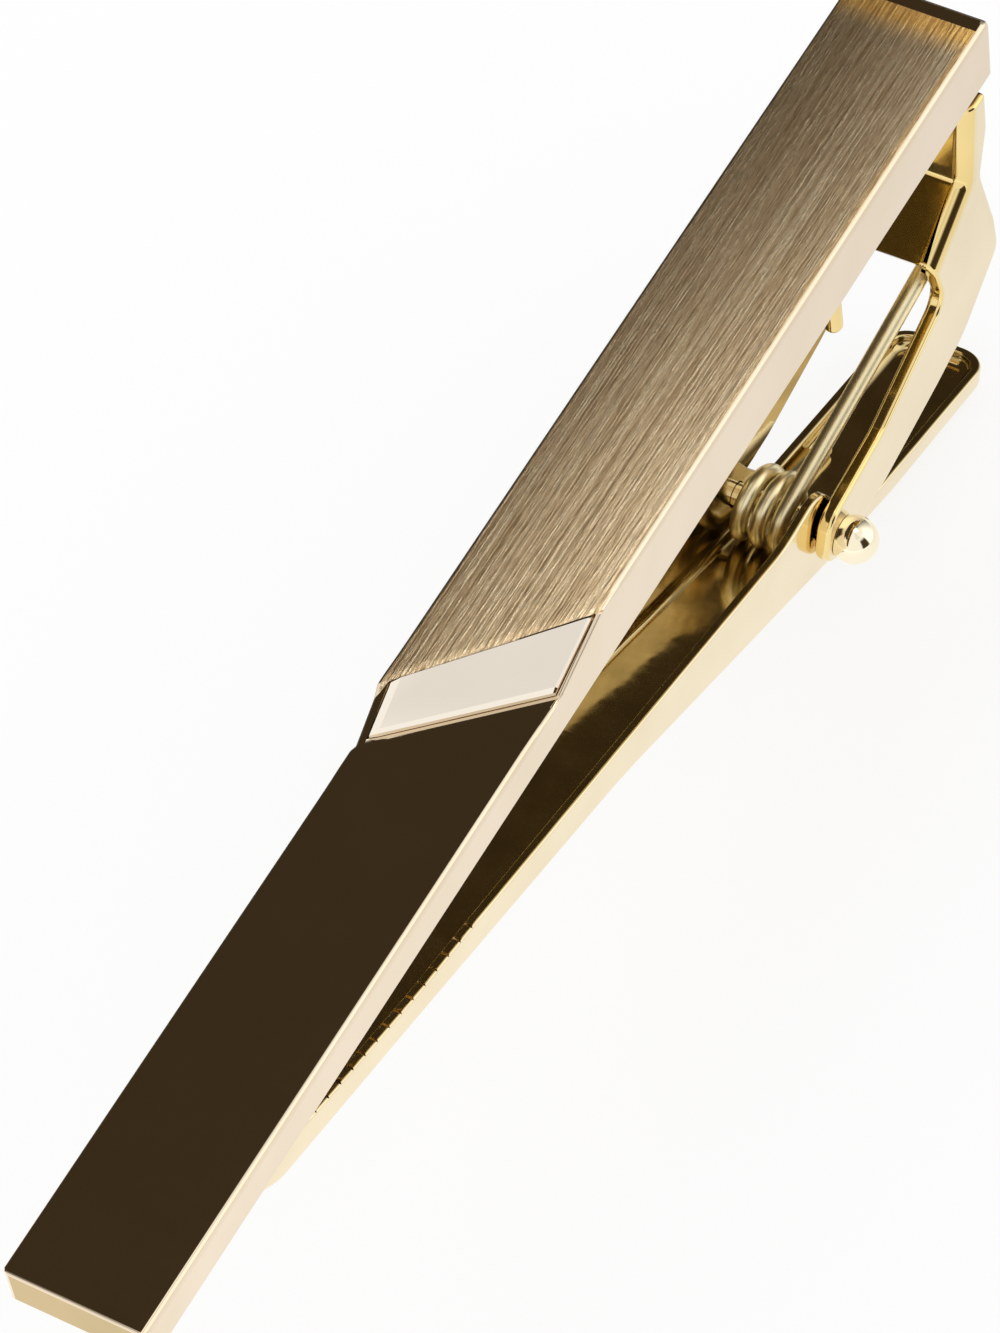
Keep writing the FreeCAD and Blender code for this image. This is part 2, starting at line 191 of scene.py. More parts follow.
# %% [markdown]
# ## Gold plate
# The metal is thin gold plate on brass. Polished plate is a mirror: nearly all of what it shows is the
# room, tinted by the gold. A mirror with no fault at all looks drawn, so a slow noise varies the tint a
# little, a fine one gives the buffing haze in the roughness, and a very low bump makes reflections swim.

# %% Polished gold
def fill(tree, node, *values, **inputs):
    """Links inputs, in order or by name, to sockets or sets them to values; _ stands for a space."""
    named = [(node.inputs[name.replace("_", " ")], value) for name, value in inputs.items()]
    for target, value in [*zip(node.inputs, values), *named]:
        if isinstance(value, bpy.types.NodeSocket):
            tree.links.new(value, target)
        else:
            target.default_value = value
    return node


def add(tree, kind, *values, **inputs):
    """A new node with its inputs filled."""
    return fill(tree, tree.nodes.new(kind), *values, **inputs)


def noise(tree, coordinates, stretch, detail, roughness=0.5):
    """A noise whose cells are as long as 1 / stretch metres along each axis."""
    cells = add(tree, "ShaderNodeMapping", Vector=coordinates, Scale=stretch).outputs["Vector"]
    texture = add(tree, "ShaderNodeTexNoise", Vector=cells, Scale=1.0, Detail=detail, Roughness=roughness)
    return texture.outputs["Fac"]


def ramp(tree, value, stops):
    """Colours at places between 0 and 1, with smooth steps between them."""
    node = add(tree, "ShaderNodeValToRGB", Fac=value)
    elements = node.color_ramp.elements
    for index, (place, colour) in enumerate(stops):
        element = elements[index] if index < 2 else elements.new(place)
        element.position = place
        element.color = (*colour, 1.0)
    return node.outputs["Color"]


def spread(tree, value, low, high, begin=0.0, end=1.0):
    """A value between two limits, 0 and 1 by default, laid out between two others."""
    limits = {"From_Min": begin, "From_Max": end, "To_Min": low, "To_Max": high}
    return add(tree, "ShaderNodeMapRange", Value=value, **limits).outputs["Result"]


def bump(tree, height, strength, distance):
    """A small relief, its depth in millimetres."""
    return add(tree, "ShaderNodeBump", Height=height, Strength=strength, Distance=distance * MM).outputs["Normal"]


def metal(name):
    """An empty metal finish: its tree, its shader and its Object coordinates."""
    material = bpy.data.materials.new(name)
    material.use_nodes = True
    tree = material.node_tree
    shader = fill(tree, tree.nodes["Principled BSDF"], Metallic=1.0)
    return material, tree, shader, add(tree, "ShaderNodeTexCoord").outputs["Object"]


BUFFING = (2600, 2600, 2600)


def polished(name, dark, light, haze, waves=260, depth=0.0012):
    """Mirror plate between two tints, with a buffing haze between two roughnesses and low waves."""
    material, tree, shader, coordinates = metal(name)
    slow = noise(tree, coordinates, (waves, waves, waves), 2)
    fine = noise(tree, coordinates, BUFFING, 4, 0.6)
    tint = ramp(tree, slow, ((0.3, dark), (0.7, light)))
    fill(tree, shader, Base_Color=tint, Roughness=spread(tree, fine, *haze), Normal=bump(tree, slow, 1.0, depth))
    return material


# pale tint: painted light, the white floor's glare on the bar's side walls; end tint: painted shade, a darker copy
# for the bar's two end faces
painted_light_gold = polished("painted_light_pale_plate", (0.77, 0.64, 0.47), (0.81, 0.68, 0.52), (0.03, 0.09))
painted_shade_end_gold = polished("painted_shade_end_plate", (0.51, 0.37, 0.155), (0.57, 0.41, 0.18), (0.05, 0.12))
deep_gold = polished("deep_gold_plate", (0.83, 0.63, 0.26), (0.89, 0.70, 0.32), (0.04, 0.12))
# inner tint: painted shade, a darker copy of the gold for the inside of the lever's tray
painted_shade_inner_gold = polished("painted_shade_inside_plate", (0.52, 0.40, 0.18), (0.68, 0.53, 0.26), (0.06, 0.2), 600, 0.02)
# flank tint: painted light, a paler copy of the gold for the flat sides of the ears and the lever's outside
painted_light_flank_gold = polished("painted_light_flank_plate", (0.82, 0.69, 0.46), (0.87, 0.745, 0.51), (0.04, 0.1))
# pin tint: painted light, a paler copy of the gold for the ball heads' bright glare
painted_light_pin_gold = polished("painted_light_pin_plate", (0.93, 0.83, 0.60), (0.97, 0.88, 0.66), (0.04, 0.1))
# wire tint: painted light, a paler copy of the gold that brightens the coil
painted_light_wire_gold = polished("painted_light_wire_plate", (0.95, 0.82, 0.50), (1.0, 0.90, 0.62), (0.28, 0.4))
silver = polished("bright_silver_plate", (0.91, 0.83, 0.71), (0.95, 0.87, 0.75), (0.04, 0.1))
print("finishes", painted_light_gold.name, deep_gold.name, painted_light_wire_gold.name, silver.name)

# %% [markdown]
# ## Satin gold
# The thick half is brushed along its length on a fine belt. Each stroke is a hairline a few millimetres
# long and a few hundredths wide, so the noise is stretched hard along X. Two such noises, one for strokes
# and one for grit, set the tint, the roughness and a shallow relief, and a third adds a few long scratches.
# A soft belt also crowns the face, so the normal leans a little over its length and width. By the hinge end
# and along the right edge beside it the tint is warmed: a painted reflection, the gold fringe on that rim,
# and the normal leans a little more there. Brushing spreads a highlight across the strokes and not along
# them, which is what the shader's anisotropy does; its tangent comes from a UV map laid along the bar.

# %% Painted fringe and crown of the brushed face
FRINGE_SIDE, FRINGE_LENGTH, FRINGE_END = (-2.3, -2.65), (8, 27), (27.7, 28.6)    # mm where the painted fringe starts and is full
FRINGE_LEAST, FRINGE_LEAN, PAINTED_FRINGE_TINT = 0.15, 0.19, (1.0, 0.78, 0.40)
CROWN_X, CROWN_Y = (0.05, -0.1), (0.07, -0.15)    # slopes from hinge to plate and from left to right


def calculate(tree, operation, *values):
    """A Math node on sockets and plain numbers."""
    node = add(tree, "ShaderNodeMath")
    node.operation = operation
    return fill(tree, node, *values).outputs["Value"]


def tinted(tree, share, colour, tint, blend):
    """A colour that a share of a fixed tint covers or multiplies."""
    node = add(tree, "ShaderNodeMix")
    node.data_type, node.blend_type = "RGBA", blend
    return fill(tree, node, Factor=share, A=colour, B=(*tint, 1.0)).outputs["Result"]


def split(tree, coordinates):
    """The X, Y and Z of coordinates."""
    return add(tree, "ShaderNodeSeparateXYZ", Vector=coordinates).outputs


def between(tree, value, places, low=0.0, high=1.0):
    """A value laid out from one place to another, in millimetres."""
    return spread(tree, value, low, high, places[0] * MM, places[1] * MM)


def painted_fringe(tree, axes):
    """Share of the painted fringe, a warm painted reflection, full at the hinge end and along the right edge
    beside it.
    """
    side, length = between(tree, axes["Y"], FRINGE_SIDE), between(tree, axes["X"], FRINGE_LENGTH, FRINGE_LEAST)
    edge = calculate(tree, "MULTIPLY", side, length)
    return calculate(tree, "MAXIMUM", edge, between(tree, axes["X"], FRINGE_END))


def crowned_normal(tree, axes, fringe_share):
    """The face's normal with the lean of the belt's crown, and more lean in the painted fringe."""
    along = between(tree, axes["X"], (HALF_LENGTH, 0.0), *CROWN_X)
    across = between(tree, axes["Y"], (HALF_WIDTH, -HALF_WIDTH), *CROWN_Y)
    lean = add(tree, "ShaderNodeCombineXYZ", calculate(tree, "MULTIPLY_ADD", fringe_share, -FRINGE_LEAN, along), across)
    normal = add(tree, "ShaderNodeNewGeometry").outputs["Normal"]
    return add(tree, "ShaderNodeVectorMath", normal, lean.outputs["Vector"]).outputs["Vector"]


# %% Brushed finish
STROKES, GRIT, SCRATCHES, GRIT_SHARE = (60, 13000, 13000), (1500, 26000, 26000), (9, 15000, 15000), 0.45
HAIRLINE_TINTS = ((0.41, (0.34, 0.23, 0.12)), (0.59, (1.0, 0.86, 0.62)), (0.5, (0.74, 0.555, 0.335)))
SCRATCH_TINT, BRUSHED_DEPTH = (1.0, 0.9, 0.7), 0.03
SCRATCH_SHARES = (0.0, 0.8, 0.66, 0.74)    # two results, then the noise levels that give them
SATIN_HAZE = (0.46, 0.14, 0.35, 0.65)


def satin(name):
    """Lengthwise brushed plate."""
    material, tree, shader, coordinates = metal(name)
    strokes = spread(tree, noise(tree, coordinates, STROKES, 5, 0.65), 0.0, 1 - GRIT_SHARE)
    hairlines = calculate(tree, "MULTIPLY_ADD", noise(tree, coordinates, GRIT, 3, 0.7), GRIT_SHARE, strokes)
    scratches = spread(tree, noise(tree, coordinates, SCRATCHES, 1), *SCRATCH_SHARES)
    axes = split(tree, coordinates)
    # the painted fringe: a warm painted reflection by the hinge end and the right edge, which also leans the
    # normal
    fringe_share = painted_fringe(tree, axes)
    bright = tinted(tree, scratches, ramp(tree, hairlines, HAIRLINE_TINTS), SCRATCH_TINT, "MIX")
    relief = bump(tree, hairlines, 1.0, BRUSHED_DEPTH)
    fill(tree, relief.node, Normal=crowned_normal(tree, axes, fringe_share))
    tangent = add(tree, "ShaderNodeTangent")
    tangent.direction_type = "UV_MAP"
    tangent.uv_map = "brushing"
    fill(
        tree, shader, Base_Color=tinted(tree, fringe_share, bright, PAINTED_FRINGE_TINT, "MULTIPLY"), Normal=relief,
        Roughness=spread(tree, hairlines, *SATIN_HAZE), Tangent=tangent.outputs["Tangent"],
        Anisotropic=0.4, Anisotropic_Rotation=0.25,
    )
    return material


satin_gold = satin("satin_gold_plate")
print("finish", satin_gold.name)

# %% [markdown]
# ## The bar
# The bar is one casting with a step: the facet between its two heights is a slope that twists a little
# across the width. It could be cut from a block, but a mesh with its faces listed one by one gives clean
# edges that a bevel can round by different amounts: broad at the hinge end and along the top, narrowing
# beside the facet, and a trace round the back. A pocket for the plate is sunk in the facet, a hair wider than it.

# %% Facet and pocket
SATIN_HEIGHT, POLISHED_HEIGHT = 2.9, 1.7
FACET_FOOT = (22.5, 27.1)
FACET_RUN = (2.1, 3.5)
PLATE_SIDES = (0.4 / 5.5, 1 - 0.22 / 5.5)
PLATE_SLOPE = (0.04, 0.84)
POCKET_GAP = 0.012
POCKET_DEPTH = 0.3
FACET_STRIPS = 16
LEFT_CHAMFER, LEFT_START, LEFT_FOOT, LEFT_LIP = 0.3, 0.2, 0.2, 0.05    # the facet's cut left margin
ROLL_OFF = (    # run and drop of the satin face beside the plate
    (0.0, 0.032), (0.1, 0.02), (0.2, 0.01), (0.33, 0.003), (0.45, 0.0), (0.8, 0.0), (1.3, 0.0), (2.0, 0.0),
)


def facet_point(across, slope, lift=0.0):
    """Point on the facet: 0 to 1 from the +Y side to the -Y side, and from its head to its foot."""
    foot = FACET_FOOT[0] + (FACET_FOOT[1] - FACET_FOOT[0]) * across - HALF_LENGTH
    run = FACET_RUN[0] + (FACET_RUN[1] - FACET_RUN[0]) * across
    height = SATIN_HEIGHT - (SATIN_HEIGHT - POLISHED_HEIGHT) * slope + lift
    return mm(foot + run * (1 - slope), HALF_WIDTH * (1 - 2 * across), height)


def shares(low, high, count):
    """Even steps from one share to another."""
    return [low + (high - low) * index / count for index in range(count + 1)]


def facet_faces(bm):
    """Faces of the facet round and inside the pocket; returns its rows of points from head to foot."""
    sides = [0.0] + shares(PLATE_SIDES[0] - POCKET_GAP, PLATE_SIDES[1] + POCKET_GAP, FACET_STRIPS) + [1.0]
    slopes = [0.0, PLATE_SLOPE[0] - POCKET_GAP, PLATE_SLOPE[1] + POCKET_GAP, 1.0]
    rows = [[bm.verts.new(facet_point(across, slope)) for across in sides] for slope in slopes]
    for vert in rows[0]:
        vert.co.z -= ROLL_OFF[0][1] * MM
    for vert in rows[2][1:-1]:
        vert.co.z = POLISHED_HEIGHT * MM
    rows[2][1].co.z += LEFT_LIP * MM
    rows[1][0].co = facet_point(0.0, LEFT_START, -LEFT_CHAMFER)
    rows[2][0].co.z = (POLISHED_HEIGHT - LEFT_FOOT) * MM
    floor = [
        [bm.verts.new(facet_point(across, slope, -POCKET_DEPTH)) for across in sides[1:-1]]
        for slope in slopes[1:3]
    ]
    bridge(bm, rows[:2])
    bridge(bm, [row[:2] for row in rows[1:3]])
    bridge(bm, [row[-2:] for row in rows[1:3]])
    bridge(bm, rows[2:])
    bridge(bm, [rows[1][1:-1], *floor, rows[2][1:-1]])
    bm.faces.new((rows[1][1], floor[0][0], floor[1][0], rows[2][1]))
    bm.faces.new((rows[1][-2], rows[2][-2], floor[1][-1], floor[0][-1]))
    return rows


# %% Bar outline and its rounded edges
NEAR_ROUND, FAR_ROUND, JAW_END_ROUND, HINGE_END_ROUND = 0.34, 0.2, 0.1, 0.45
CORNER_ROUND, SLOPE_ROUND, HEAD_ROUND, BACK_ROUND = 0.3, 0.12, 0.025, 0.08
TAPER = (0.8, 2.0)    # the roundings narrow within this distance of the facet
BRUSHED_END = 29.17    # a polished margin follows, up to the hinge end


def bar_rounding(edge, head, facet):
    """How far one edge of the bar is rounded, in millimetres."""
    ends = [vert.co / MM for vert in edge.verts]
    at_end = all(abs(abs(end.x) - HALF_LENGTH) < TOUCH for end in ends) and ends[0].x * ends[1].x > 0
    at_side = all(abs(abs(end.y) - HALF_WIDTH) < TOUCH for end in ends) and ends[0].y * ends[1].y > 0
    if all(vert in head for vert in edge.verts):
        return HEAD_ROUND if max(abs(end.y) for end in ends) < HALF_WIDTH - TOUCH else 0.0
    if at_end and at_side:
        return CORNER_ROUND
    if not at_end and not at_side:
        return 0.0
    if max(end.z for end in ends) < TOUCH:
        return BACK_ROUND
    if at_end:
        return JAW_END_ROUND if ends[0].x < 0 else HINGE_END_ROUND
    if all(vert in facet for vert in edge.verts):
        return SLOPE_ROUND
    full = NEAR_ROUND if ends[0].y < 0 else FAR_ROUND
    middle, across = (ends[0].x + ends[1].x) / 2, 0 if ends[0].y > 0 else 1
    gap = max(middle - facet_point(across, 0).x / MM, facet_point(across, 1).x / MM - middle)
    return SLOPE_ROUND + (full - SLOPE_ROUND) * min(max((gap - TAPER[0]) / (TAPER[1] - TAPER[0]), 0), 1)


def rows_beside(bm, line, steps):
    """Rows of points beside a line, by run and rise; the narrow first and last columns end at the line."""
    kept = [index for index in range(len(line)) if index not in (1, len(line) - 2)]
    rows = [line] + [[bm.verts.new(line[index].co + mm(run, 0, rise)) for index in kept] for run, rise in steps]
    for lower, upper in zip(rows, rows[1:]):
        columns = kept if lower is line else range(len(kept))
        for index in range(len(kept) - 1):
            bm.faces.new(lower[columns[index]:columns[index + 1] + 1] + upper[index:index + 2][::-1])
    return rows


def bar_mesh():
    """The bar's block with its step, ready to be rounded."""
    bm = bmesh.new()
    rows = facet_faces(bm)
    head, foot = rows[0], rows[-1]
    top_rows = rows_beside(bm, head, [(run, ROLL_OFF[0][1] - drop) for run, drop in ROLL_OFF[1:]])
    low_rows = rows_beside(bm, foot, [(-run, 0.0) for run, drop in ROLL_OFF if run >= TAPER[0]])
    corners = []
    for x, z in (
        (BRUSHED_END, SATIN_HEIGHT), (HALF_LENGTH, SATIN_HEIGHT), (HALF_LENGTH, 0), (-HALF_LENGTH, 0),
        (-HALF_LENGTH, POLISHED_HEIGHT),
    ):
        corners.append([bm.verts.new(mm(x, y, z)) for y in (HALF_WIDTH, -HALF_WIDTH)])
    bm.faces.new(top_rows[-1] + corners[0][::-1])
    bm.faces.new(low_rows[-1] + corners[-1][::-1])
    for side, column in ((0, 0), (1, -1)):
        slope = [row[column] for row in top_rows[:0:-1] + rows + low_rows[1:]]
        bm.faces.new(slope + [corner[side] for corner in reversed(corners)])
    bridge(bm, corners)
    bmesh.ops.recalc_face_normals(bm, faces=bm.faces)
    weight = bm.edges.layers.float.new("bevel_weight_edge")
    head, facet = set(head), {vert for row in rows for vert in row}
    for edge in bm.edges:
        edge[weight] = bar_rounding(edge, head, facet) / HINGE_END_ROUND
    return bm


bar = even_shading(soften(new_object("front_bar_dressed", bar_mesh()), HINGE_END_ROUND, 8), 14)
print("bar faces", len(bar.data.polygons))

# %% Bar finishes
# The brushing covers the satin face and the start of its rounded rim; all else is mirror plate in a pale
# tint that is painted light, the white floor's glare on the side walls, and the two end faces take a darker
# tint that is painted shade.
BRUSHED_TILT, BRUSHED_FLOOR, HEAD_STRIP, HEAD_TILT, END_TILT = 0.93, 2.6, 0.06, 0.2, 0.8


def lay_uv(obj, name):
    """A UV map laid flat along the bar, for the direction of the brushing."""
    layer = obj.data.uv_layers.new(name=name)
    for loop in obj.data.loops:
        point = obj.data.vertices[loop.vertex_index].co
        layer.data[loop.index].uv = (point.x / (2 * HALF_LENGTH * MM) + 0.5, point.y / (2 * HALF_WIDTH * MM) + 0.5)


def is_brushed(face):
    """True for the satin face, the upper part of its rounding and the strip at the facet's head."""
    if face.center.z <= BRUSHED_FLOOR * MM:
        return False
    past_head = (face.center.x - facet_point(0.5 - face.center.y / (2 * HALF_WIDTH * MM), 0).x) / MM
    if abs(past_head) < HEAD_STRIP and face.normal.z > HEAD_TILT:
        return True
    return past_head > 0 and face.center.x < BRUSHED_END * MM and face.normal.z > BRUSHED_TILT


def is_painted_shade_end(face):
    """True for the two large end faces."""
    return abs(face.normal.x) > END_TILT and face.area > MM ** 2


lay_uv(bar, "brushing")
for finish in (painted_light_gold, satin_gold, painted_shade_end_gold):
    bar.data.materials.append(finish)
for face in bar.data.polygons:
    face.material_index = 1 if is_brushed(face) else 2 if is_painted_shade_end(face) else 0
hand_over(bar, "bar", "front_bar")

# %% [markdown]
# ## The bright plate
# A thin silver-coloured plate fills the pocket. Its foot and its left side have a broad bevel that
# catches a different part of the room than the top does, and that is what makes it read as a plate
# and not as paint. A grid laid on the facet, raised inside its own margins, gives top and bevels at once.

# %% Inset plate
PLATE_LIFT, PLATE_RIM, PLATE_SKIRT = 0.1, 0.0, -0.25
PLATE_BEVEL_SIDES = (0.045, 0.012)
PLATE_BEVEL_SLOPE = (0.02, 0.05)


def plate_mesh():
    """Plate on the facet: a raised top, a bevel on each side and a skirt in the pocket."""
    bm = bmesh.new()
    sides = shares(PLATE_SIDES[0] + PLATE_BEVEL_SIDES[0], PLATE_SIDES[1] - PLATE_BEVEL_SIDES[1], 12)
    slopes = shares(PLATE_SLOPE[0] + PLATE_BEVEL_SLOPE[0], PLATE_SLOPE[1] - PLATE_BEVEL_SLOPE[1], 8)
    sides = [PLATE_SIDES[0]] + sides + [PLATE_SIDES[1]]
    slopes = [PLATE_SLOPE[0]] + slopes + [PLATE_SLOPE[1]]
    rim_columns, rim_rows = (0, len(sides) - 1), (0, len(slopes) - 1)
    grid = []
    for row, slope in enumerate(slopes):
        line = []
        for column, across in enumerate(sides):
            on_rim = row in rim_rows or column in rim_columns
            line.append(bm.verts.new(facet_point(across, slope, PLATE_RIM if on_rim else PLATE_LIFT)))
        grid.append(line)
    bridge(bm, grid)
    rim = [edge for edge in bm.edges if edge.is_boundary]
    skirt = bmesh.ops.extrude_edge_only(bm, edges=rim)["geom"]
    bmesh.ops.translate(
        bm, verts=[part for part in skirt if isinstance(part, bmesh.types.BMVert)], vec=mm(0, 0, PLATE_SKIRT)
    )
    bmesh.ops.holes_fill(bm, edges=[edge for edge in bm.edges if edge.is_boundary])
    return bm


plate = even_shading(new_object("silver_inset_dressed", plate_mesh()), 12)
plate.data.materials.append(silver)
hand_over(plate, "bar", "silver_inset")

# %% [markdown]
# ## Turned pieces: the pin and the peg
# The pin is a rod with a ball formed at each end, and the peg a short pin with a domed tip. Both are
# turned: a profile of radius and height is swept once round an axis.

# %% Pin and peg
ROUND_STEPS = 48


def turned(name, profile, foot, axis):
    """Solid of revolution from (radius, height) points along an axis."""
    bm = bmesh.new()
    frame_axis = Vector(axis).to_track_quat("Z", "Y").to_matrix()
    rings = []
    for radius, height in profile:
        ring = []
        for index in range(ROUND_STEPS if radius else 1):
            turn = 2 * math.pi * index / ROUND_STEPS
            spoke = Vector((radius * math.cos(turn), radius * math.sin(turn), height))
            ring.append(bm.verts.new((Vector(foot) + frame_axis @ spoke) * MM))
        rings.append(ring)
    for lower, upper in zip(rings, rings[1:]):
        for index in range(ROUND_STEPS):
            corner = [lower[index % len(lower)], lower[(index + 1) % len(lower)]]
            corner += [upper[(index + 1) % len(upper)], upper[index % len(upper)]]
            bm.faces.new(tuple(dict.fromkeys(corner)))
    return new_object(name, bm)


BALL, BALL_STEPS, BALL_STAND, EAR_FACE, PIN_RADIUS = 0.945, 24, 3.3, 2.8, 0.5
head = []
for index, turn in enumerate(shares(0, math.pi, BALL_STEPS)):
    radius, height = BALL * math.sin(turn), BALL_STAND - BALL * math.cos(turn)
    if height > EAR_FACE:
        head.append((radius if index < BALL_STEPS else 0.0, height))
head.insert(0, (math.sqrt(BALL ** 2 - (BALL_STAND - EAR_FACE) ** 2), EAR_FACE))
far_half = [(PIN_RADIUS, EAR_FACE)] + head
near_half = [(radius, -height) for radius, height in reversed(far_half)]
pin = even_shading(turned("pivot_pin_dressed", near_half + far_half, (PIN_X, 0, PIN_Z), (0, 1, 0)))
pin.data.materials.append(painted_light_pin_gold)
hand_over(pin, "bar", "pivot_pin")

PEG_RADIUS, PEG_LENGTH, PEG_DOME, PEG_FOOT = 0.35, 1.9, 0.3, (18.05, -2.25, 0)
tip = [
    (PEG_RADIUS * math.cos(turn), PEG_LENGTH - PEG_DOME + PEG_DOME * math.sin(turn))
    for turn in shares(0, math.pi / 2, 8)[:-1]
]
peg_profile = [(0.0, 0.0), (PEG_RADIUS, 0.0)] + tip + [(0.0, PEG_LENGTH)]
peg = even_shading(turned("stop_peg_dressed", peg_profile, PEG_FOOT, (0, 0, -1)))
peg.data.materials.append(deep_gold)
hand_over(peg, "bar", "stop_peg")

# %% [markdown]
# ## The hinge bracket
# The bracket is one strip of sheet: a base soldered under the bar, a neck, a sloping web and two ears
# folded down from the web's sides. Its side view is drawn once with rounded corners, swept across the
# width, and hollowed out between the ears. The fold is rounded before the hollow is cut, the sheet's own
# edges after it, because tumbling in the plating shop leaves no sharp edge. The narrower base is joined last.

# %% Side outlines with rounded corners
ARC_STEP = math.radians(6)


def rounded(corners, closed=True):
    """Points of a line through corners (x, z, radius), with a tangent arc at each rounded corner."""
    points = []
    count = len(corners)
    for index, (x, z, radius) in enumerate(corners):
        here = Vector((x, z))
        if radius == 0 or not closed and index in (0, count - 1):
            points.append(here)
            continue
        way_in = (here - Vector(corners[index - 1][:2])).normalized()
        way_out = (Vector(corners[(index + 1) % count][:2]) - here).normalized()
        angle = math.atan2(way_in.cross(way_out), way_in.dot(way_out))
        start = here - way_in * radius * math.tan(abs(angle) / 2)
        centre = start + Vector((-way_in.y, way_in.x)) * math.copysign(radius, angle)
        steps = max(1, math.ceil(abs(angle) / ARC_STEP))
        for step in range(steps + 1):
            points.append(centre + Matrix.Rotation(angle * step / steps, 2) @ (start - centre))
    return points


def beside(corners, distance):
    """An open line of corners moved to its left by a distance, with its bends kept concentric."""
    moved = []
    last = len(corners) - 1
    for index, (x, z, radius) in enumerate(corners):
        here = Vector((x, z))
        before, after = Vector(corners[max(index - 1, 0)][:2]), Vector(corners[min(index + 1, last)][:2])
        way_in = (here - before if index else after - here).normalized()
        way_out = (after - here if index < last else here - before).normalized()
        angle = math.atan2(way_in.cross(way_out), way_in.dot(way_out))
        middle = (way_in + way_out).normalized()
        reach = distance / math.cos(angle / 2)
        side = math.copysign(distance, angle * distance) if index not in (0, last) else 0
        moved.append((x - middle.y * reach, z + middle.x * reach, max(radius - side, 0)))
    return moved


def swept(name, points, width):
    """Side outline swept across the clip, to a width that is centred on Y."""
    bm = bmesh.new()
    rings = [[bm.verts.new(mm(x, y, z)) for x, z in points] for y in (-width / 2, width / 2)]
    bm.faces.new(rings[0])
    bm.faces.new(rings[1][::-1])
    bridge(bm, rings, closed=True)
    return new_object(name, bm)


# %% Bracket
SHEET, BRACKET_WIDTH, BASE_WIDTH, FOLD, EAR_INNER = 0.6, 5.6, 4.6, 0.7, 2.2
STRIP = [(24.7, -5.74, 0), (27.55, -4.0, 0.4), (28.0, -0.6, 0.4), (20.5, -0.6, 0)]
EAR = [
    (25.3044, -8.1041, 0.81), (19.998, -10.0481, 2.7), (15.774, -10.6191, 0.99), (14.8896, -13.122, 0.99),
    (20.0, -12.95, 1.62), (24.4, -12.2, 3.0), (26.6, -11.7, 3.0), (29.7, -9.6471, 0.9), (29.502, -7.8975, 0.9),
    (28.578, -4.374, 1.26), (29.25, -2.3, 0.9), (29.25, -0.45, 0), (28.0, -0.45, 0),
]


def weigh_folds(obj):
    """Marks the outside edges between an ear and the web or the neck for rounding."""
    bm = bmesh.new()
    bm.from_mesh(obj.data)
    weight = bm.edges.layers.float.new("bevel_weight_edge")
    marked = 0
    for edge in bm.edges:
        ends = [vert.co / MM for vert in edge.verts]
        along_side = all(abs(abs(end.y) - BRACKET_WIDTH / 2) < TOUCH for end in ends) and ends[0].y * ends[1].y > 0
        above_web = min(end.z for end in ends) > STRIP[0][1] - TOUCH
        before_flange = max(end.x for end in ends) < STRIP[2][0] + TOUCH
        below_top = (ends[0].z + ends[1].z) / 2 < EAR[-1][1] - TOUCH
        if along_side and above_web and before_flange and below_top:
            edge[weight] = 1.0
            marked += 1
    bm.to_mesh(obj.data)
    bm.free()
    print("fold edges", marked)
    return obj


NEAR_X, FAR_X, OVER_BAR, UNDER_TAIL = 3, 45, 1, -26    # borders well outside the bracket


def bracket_room():
    """Outline of the space between the ears, behind the strip and in front of the web's end."""
    web_end, neck_foot, neck_top = beside(STRIP, -SHEET)[:3]
    across = (Vector(STRIP[0][:2]) - Vector(web_end[:2])) / SHEET
    over_web = Vector(STRIP[0][:2]) + across
    slope = (neck_top[0] - neck_foot[0]) / (neck_top[1] - neck_foot[1])
    neck_x = neck_foot[0] + (OVER_BAR - neck_foot[1]) * slope
    around = [(FAR_X, OVER_BAR, 0), (FAR_X, UNDER_TAIL, 0), (NEAR_X, UNDER_TAIL, 0), (NEAR_X, over_web.y, 0)]
    return [(*over_web, 0), web_end, neck_foot, (neck_x, OVER_BAR, 0)] + around


outline = rounded([STRIP[1], STRIP[0]] + EAR)
bracket = soften(weigh_folds(swept("hinge_bracket_dressed", outline, BRACKET_WIDTH)), FOLD, 10)
combine(bracket, swept("room", rounded(bracket_room()), 2 * EAR_INNER), "DIFFERENCE")
print("bracket faces", len(bracket.data.polygons))

# %% Bracket edges and base
SHEET_ROUND, BASE_ROUND, EAR_TILT = 0.18, 0.1, 0.93
BASE_SHEET, BASE_START, START_SHIFT = 0.5, (27.86, -1.6, 0), 0.05    # the base runs a little way up the neck
soften(bracket, SHEET_ROUND, 4, 35)
base = [BASE_START] + STRIP[2:]
base += beside(base, -BASE_SHEET)[::-1]
base = [(x + START_SHIFT if z < -1 else x, z, radius) for x, z, radius in base]
combine(bracket, soften(swept("base", rounded(base), BASE_WIDTH), BASE_ROUND, 3, 35), "UNION")
even_shading(bracket, 50)


def two_tints(obj, inner, outer, is_outer):
    """Two copies of one gold: faces that a test picks take the second, paler, painted light; the rest the first.
    """
    obj.data.materials.clear()
    for finish in (inner, outer):
        obj.data.materials.append(finish)
    for face in obj.data.polygons:
        face.material_index = 1 if is_outer(face) else 0


# the ears' flat sides take the paler flank tint, painted light; folds, sheet edges and the rest keep the deep gold
two_tints(bracket, deep_gold, painted_light_flank_gold, lambda face: abs(face.normal.y) > EAR_TILT)
hand_over(bracket, "bar", "hinge_bracket")

# %% [markdown]
# ## The jaw lever
# The lever is pressed from one thin sheet into a long tray: a flat web with a flange all round, high at
# the pivot and low at the thumb tail. A tray follows a rule: at each station along it the web has a
# depth, the flange a height and the plan a half width. So it is built as loops round that plan, one loop
# for each step of the wall's profile, from the fold under the web, up the outside, over the rim and down
# the inside to the floor.

